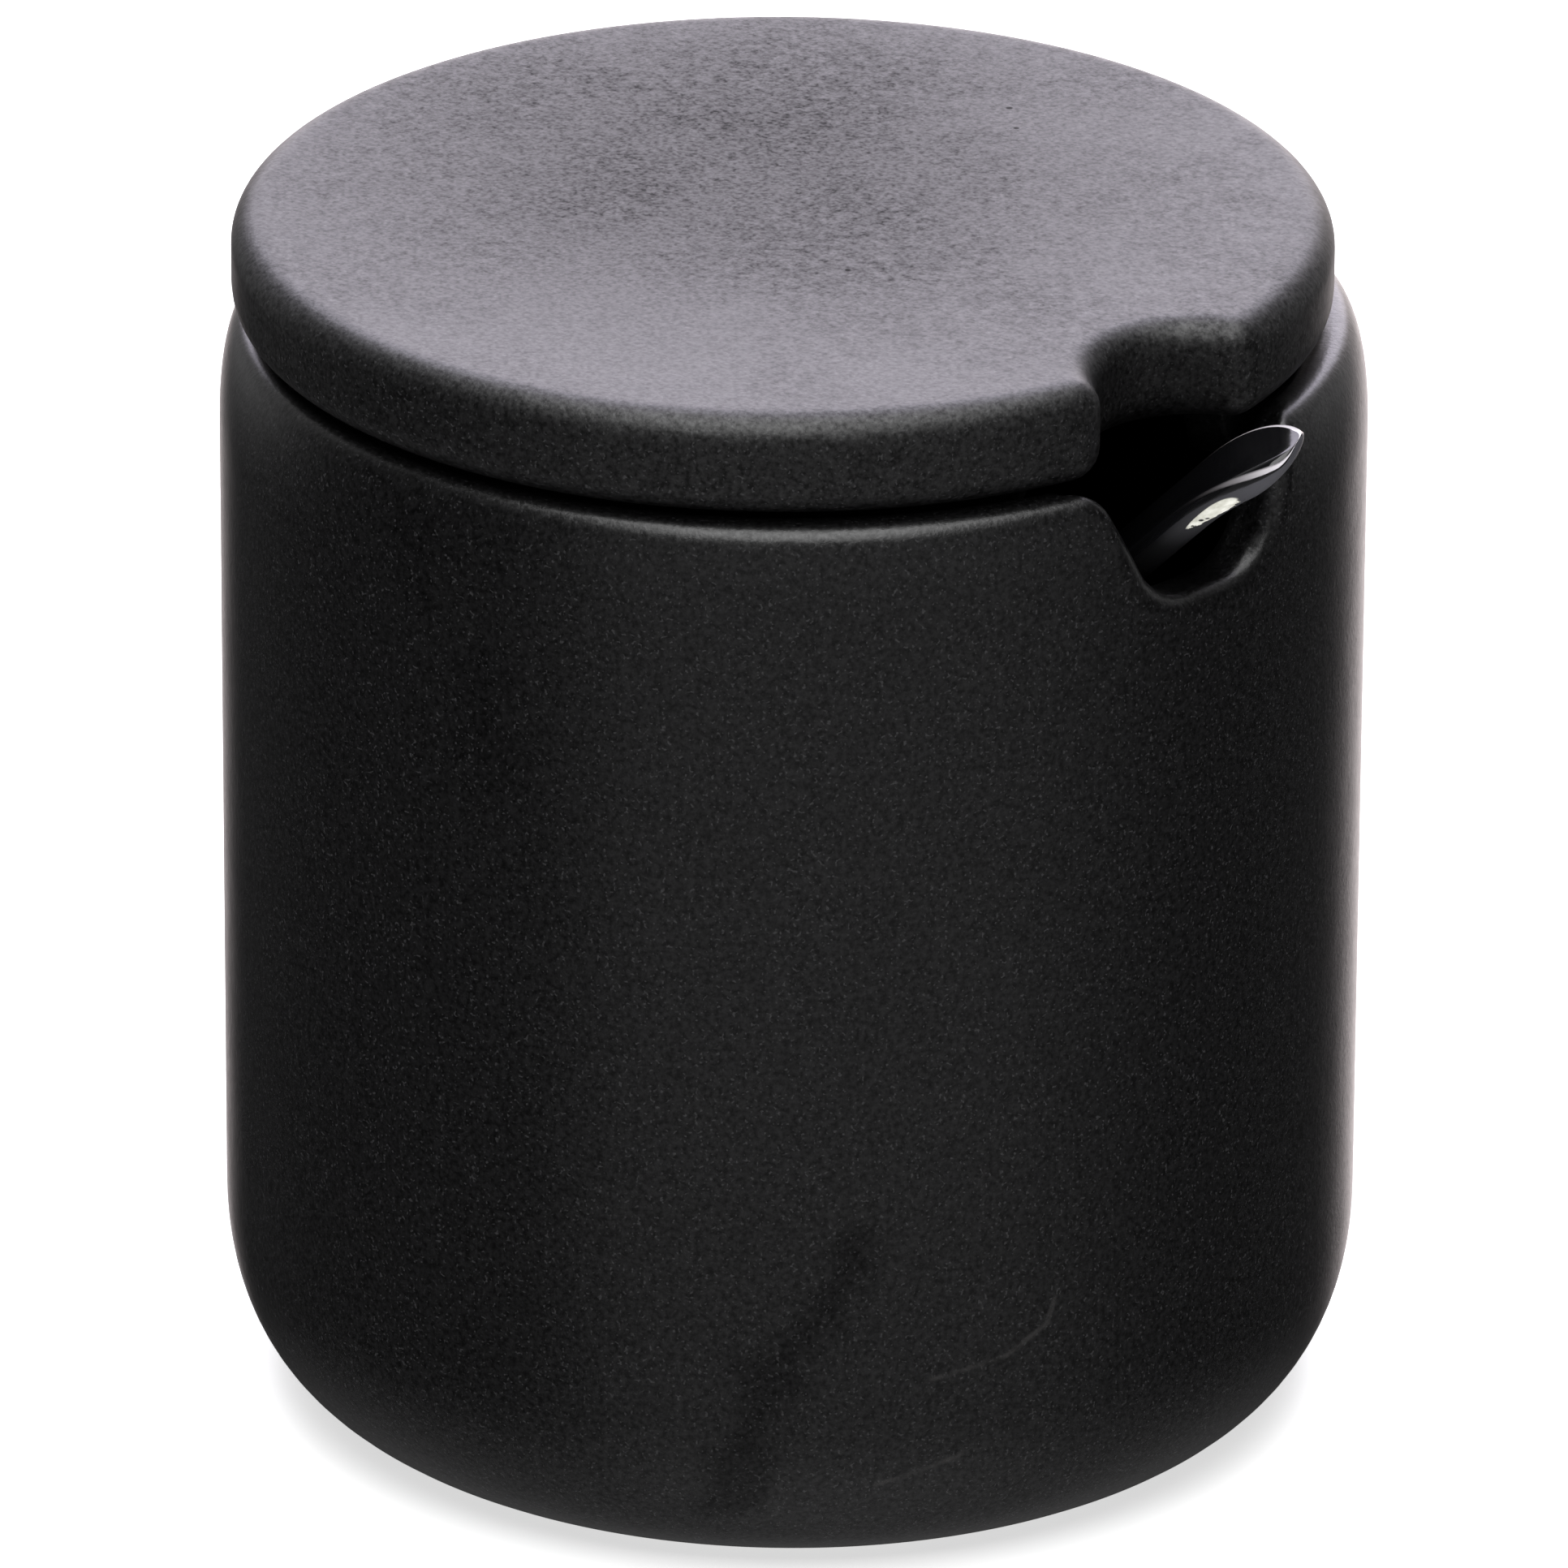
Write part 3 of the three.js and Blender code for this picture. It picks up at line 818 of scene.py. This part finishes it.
def bare_patch(m, x, z):
    """How bare the handle's side is: 1 in the patch, 0 outside it."""
    ragged = m.ramp(m.noise(0.5, 4.0, 0.7), 0.3, 0.7, -0.25, 0.25)
    along = m.math("SUBTRACT", x, BARE_PATCH_X)
    across = m.math("SUBTRACT", z, BARE_PATCH_Z)
    cos, sin = math.cos(BARE_PATCH_TILT), math.sin(BARE_PATCH_TILT)
    u = m.total(m.product(along, cos), m.product(across, -sin))
    v = m.total(m.product(along, sin), m.product(across, cos))
    u = m.math("DIVIDE", u, BARE_PATCH_HALF_LENGTH)
    inner_width, outer_width = (share * BARE_PATCH_HALF_WIDTH for share in BARE_PATCH_WIDTHS)
    v = m.math("DIVIDE", v, m.ramp(u, -1, 1, inner_width, outer_width))
    reach = m.total(m.length(u, v), m.product(ragged, m.ramp(v, 0.1, -0.6)))
    return m.ramp(reach, 1.03, 0.95)


def painted_lip_highlight(m, x, y, edge):
    """A painted highlight along the handle's lips: 1 where the pale line is painted in full."""
    far_side = m.ramp(y, -0.5, 0.5)
    least = m.total(m.ramp(x, *HIGHLIGHT_WIDENS_X, *HIGHLIGHT_MARKS), m.product(far_side, -HIGHLIGHT_MARK_FAR))
    line = m.ramp(m.math("SUBTRACT", edge, least), 0.0, 0.2)
    near_rise = m.math("POWER", m.ramp(x, *HIGHLIGHT_NEAR_X), HIGHLIGHT_NEAR_POWER)
    near_fade = m.product(near_rise, m.math("SUBTRACT", 1, far_side))
    far_fade = m.product(m.ramp(x, *HIGHLIGHT_FAR_X), far_side)
    return m.product(line, m.total(near_fade, far_fade))


def gloss_glaze():
    """Glossy black glaze with highlight lines painted pale along the handle's edge, a painted paler sheen
    underneath towards its end, and one bare patch on its side.
    """
    m = Paint("gloss_glaze")
    x, y, z = m.position()
    bare = m.product(bare_patch(m, x, z), m.ramp(y, *BARE_SIDE_Y))
    clay = m.mix(m.ramp(m.noise(0.8, 3.0), 0.35, 0.65), *HANDLE_CLAY)
    for speck_x, speck_z, size in BARE_PATCH_SPECKS:
        away = m.length(m.math("SUBTRACT", x, speck_x), m.math("SUBTRACT", z, speck_z))
        clay = m.mix(m.ramp(away, size, size * 0.6), clay, HANDLE_SPECK)

    edge = m.add("ShaderNodeAttribute", attribute_name="edge").outputs["Fac"]
    under = m.ramp(edge, *UNDERSIDE_MARKS)
    # Painted reflection: the underside is made paler towards the handle's end
    glaze = m.mix(m.product(under, m.ramp(x, *UNDERSIDE_SHEEN_X)), GLOSS, PAINTED_UNDER_SHEEN)
    # Painted highlight: pale lines along the lips that stand in for reflected light
    pale = m.mix(m.ramp(x, *HIGHLIGHT_PALE_X), *LIP_HIGHLIGHT_PAINT)
    glaze = m.mix(painted_lip_highlight(m, x, y, edge), glaze, pale)
    m.set("Base Color", m.mix(bare, glaze, clay))
    rough = m.ramp(m.noise(3, 3.0), 0.3, 0.7, *GLOSS_ROUGHNESS)
    rough = m.total(rough, m.product(under, UNDERSIDE_ROUGHNESS))
    m.set("Roughness", m.math("MAXIMUM", rough, m.product(bare, 0.6)))
    bump = m.bump(bare, -0.06)
    m.set("Normal", m.bump(m.noise(2.5, 2.0), 0.03, over=bump))
    return m.material


def dress(piece, material, body, node):
    piece.data.materials.append(material)
    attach(piece, body)
    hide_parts(node)


# ================================================================ studio
CAMERA_AZIMUTH = math.radians(44.5)
CAMERA_ELEVATION = math.radians(24.0)
CAMERA_DISTANCE = 1.26
CAMERA_LENS = 391.6
CAMERA_ROLL = math.radians(0.28)
CAMERA_AIM = (-0.58, 0.2)              # millimetres to the right and up from the object's middle

FLOOR_HALF = 6.0
FLOOR_GAP = 0.05 * MM                  # keeps the floor's face apart from the foot's
FLOOR_WHITE = (0.86, 0.86, 0.86, 1)
FLOOR_ROUGHNESS = 0.9
FLOOR_GLOW = 0.65

# The room's light, by direction: degrees to the right of straight behind the object or straight in
# front of it, and height as a sine. Each pair runs from none to all.
ROOM_GLOW = 0.03
BACKDROP_GLOW = 3.2
BACKDROP_LEFT = (-20, -8)
BACKDROP_RIGHT = (30, 13)
BACKDROP_TOP = (0.42, 0.12)
BACKDROP_FOOT = (-0.48, -0.44)
FRONT_GLOW = 0.23
FRONT_LEFT = (-46, -36)
FRONT_RIGHT = (80, 40)
FRONT_TOP = (0.6, 0.2)
FRONT_RISE = (-0.5, -0.1, 0.7, 1.1)    # from the lower height to the upper, and the light's shares
SIDE_GLOW = 0.36
SIDE_START = (12, 28)
SIDE_END = (75, 50)
SIDE_FOOT = (-0.38, -0.08)
GROUND_GLOW = 0.16
GROUND_TOP = (-0.5, -0.8)
ROOM_TINT = (1.0, 0.99, 1.0)
BACKDROP_TINT = (1.0, 0.90, 0.90)

RIGHT = Vector((math.cos(CAMERA_AZIMUTH), math.sin(CAMERA_AZIMUTH), 0))
AWAY = Vector((-RIGHT.y, RIGHT.x, 0))
UP = Vector((0, 0, 1))


def make_camera():
    middle = UP * (LID_UNDER_Z + LID_THICKNESS) / 2
    target = (middle + RIGHT * CAMERA_AIM[0] + UP * CAMERA_AIM[1]) * MM
    towards = UP * math.sin(CAMERA_ELEVATION) - AWAY * math.cos(CAMERA_ELEVATION)
    data = bpy.data.cameras.new("camera")
    data.lens = CAMERA_LENS
    data.sensor_width = 36
    data.clip_start = 0.01
    data.clip_end = 50
    camera = bpy.data.objects.new("camera", data)
    bpy.context.scene.collection.objects.link(camera)
    camera.location = target + towards * CAMERA_DISTANCE
    facing = (-towards).to_track_quat("-Z", "Y").to_matrix() @ Matrix.Rotation(CAMERA_ROLL, 3, "Z")
    camera.rotation_euler = facing.to_euler()
    bpy.context.scene.camera = camera


def in_room(right, away, up):
    """A place in metres to the right of the object, behind it and up."""
    return RIGHT * right + AWAY * away + UP * up


def softbox(name, place, aim, size, watts, colour=(1, 1, 1)):
    """A rectangular light at a place in the room, turned towards another."""
    data = bpy.data.lights.new(name, "AREA")
    data.shape = "RECTANGLE"
    data.size, data.size_y = size
    data.energy = watts
    data.color = colour
    light = bpy.data.objects.new(name, data)
    light.location = in_room(*place)
    light.rotation_euler = (in_room(*aim) - light.location).to_track_quat("-Z", "Y").to_euler()
    bpy.context.scene.collection.objects.link(light)


def make_surroundings():
    """A dim room with a white backdrop behind the object and soft glows in front and beside it.

    Its light depends only on direction in the room, so it is the same from every side.
    """
    world = bpy.data.worlds.new("studio")
    bpy.context.scene.world = world
    world.use_nodes = True
    world.cycles.sampling_method = "NONE"
    w = Nodes(world.node_tree)
    direction = w.add("ShaderNodeTexCoord").outputs["Generated"]
    away, right, up = (
        w.vector("DOT_PRODUCT", direction, tuple(axis), "Value") for axis in (AWAY, RIGHT, UP)
    )
    degrees = 180 / math.pi
    behind = w.product(w.math("ARCTAN2", right, away), degrees)
    front = w.product(w.math("ARCTAN2", right, w.product(away, -1)), degrees)
    aside = w.math("ABSOLUTE", behind)

    backdrop = w.product(w.ramp(behind, *BACKDROP_LEFT), w.ramp(behind, *BACKDROP_RIGHT),
                         w.ramp(up, *BACKDROP_TOP), w.ramp(up, *BACKDROP_FOOT), BACKDROP_GLOW)
    ahead = w.product(w.ramp(front, *FRONT_LEFT), w.ramp(front, *FRONT_RIGHT),
                      w.ramp(up, *FRONT_TOP), w.ramp(up, *FRONT_RISE), FRONT_GLOW)
    beside = w.product(w.ramp(aside, *SIDE_START), w.ramp(aside, *SIDE_END),
                       w.ramp(up, *SIDE_FOOT), SIDE_GLOW)
    ground = w.ramp(up, *GROUND_TOP, 0, GROUND_GLOW)
    shader = world.node_tree.nodes["Background"]
    w.link(w.total(backdrop, ahead, beside, ground, ROOM_GLOW), shader.inputs["Strength"])
    w.link(w.mix(w.ramp(backdrop, 0, 0.5), ROOM_TINT, BACKDROP_TINT), shader.inputs["Color"])


def floor_paint():
    """White paint over a faint light from below, as on a light table."""
    m = Paint("floor_paint")
    m.shader.inputs["Base Color"].default_value = FLOOR_WHITE
    m.shader.inputs["Roughness"].default_value = FLOOR_ROUGHNESS
    m.shader.inputs["Emission Color"].default_value = (1, 1, 1, 1)
    m.shader.inputs["Emission Strength"].default_value = FLOOR_GLOW
    return m.material


def make_floor():
    corners = ((-1, -1), (1, -1), (1, 1), (-1, 1))
    mesh = bpy.data.meshes.new("floor")
    mesh.from_pydata([(x * FLOOR_HALF, y * FLOOR_HALF, -FLOOR_GAP) for x, y in corners], [], [(0, 1, 2, 3)])
    mesh.materials.append(floor_paint())
    floor = bpy.data.objects.new("floor", mesh)
    bpy.context.scene.collection.objects.link(floor)
    # The glazes mirror the room's dim ground in place of the floor
    floor.visible_glossy = False


def make_lights():
    aim = (0, 0, 0.05)
    softbox("back", (0, 2.2, 1.1), aim, (2.1, 1.6), 33, (0.89, 0.85, 1.0))
    softbox("back_top", (0, 1.1, 1.7), aim, (1.4, 1.2), 17, (0.92, 0.88, 1.0))
    softbox("overhead", (0, -0.7, 2.0), (0, -0.5, 0), (1.7, 2.4), 54)


# ================================================================ build
dress(make_bowl(), bowl_glaze(), "bowl", "bowl")
dress(make_lid(), lid_glaze(), "lid", "lid")
dress(make_spoon(), gloss_glaze(), "spoon", "spoon")
make_floor()
make_surroundings()
make_lights()
make_camera()
bpy.context.scene.view_settings.view_transform = "Standard"
